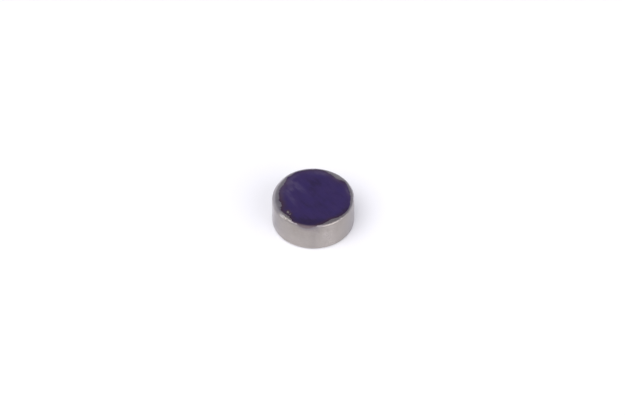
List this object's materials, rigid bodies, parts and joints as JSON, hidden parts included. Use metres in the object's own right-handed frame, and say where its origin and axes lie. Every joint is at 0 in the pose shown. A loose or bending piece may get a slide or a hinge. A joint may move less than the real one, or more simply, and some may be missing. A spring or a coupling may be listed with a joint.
{
  "type": "disc magnet",
  "caption": "Small plated permanent disc magnet with rounded edges; its upper pole face carries a worn film of dark violet marking paint.",
  "frame": {"origin": "centre of the bare lower pole face, on which the disc stands", "axes": "+Z along the magnetic axis, towards the painted pole face; -Y towards the side where the paint has run over the edge"},
  "size_m": [0.01, 0.01, 0.004],
  "materials": {
    "nickel_plating": "satin nickel plate over a sintered magnet, tumbled, slightly blotchy",
    "marking_paint": "brushed-on dark violet marking paint, satin, worn at its edge"
  },
  "bodies": {
    "root": {"magnet_disc": "nickel_plating", "pole_paint": "marking_paint"}
  },
  "joints": []
}
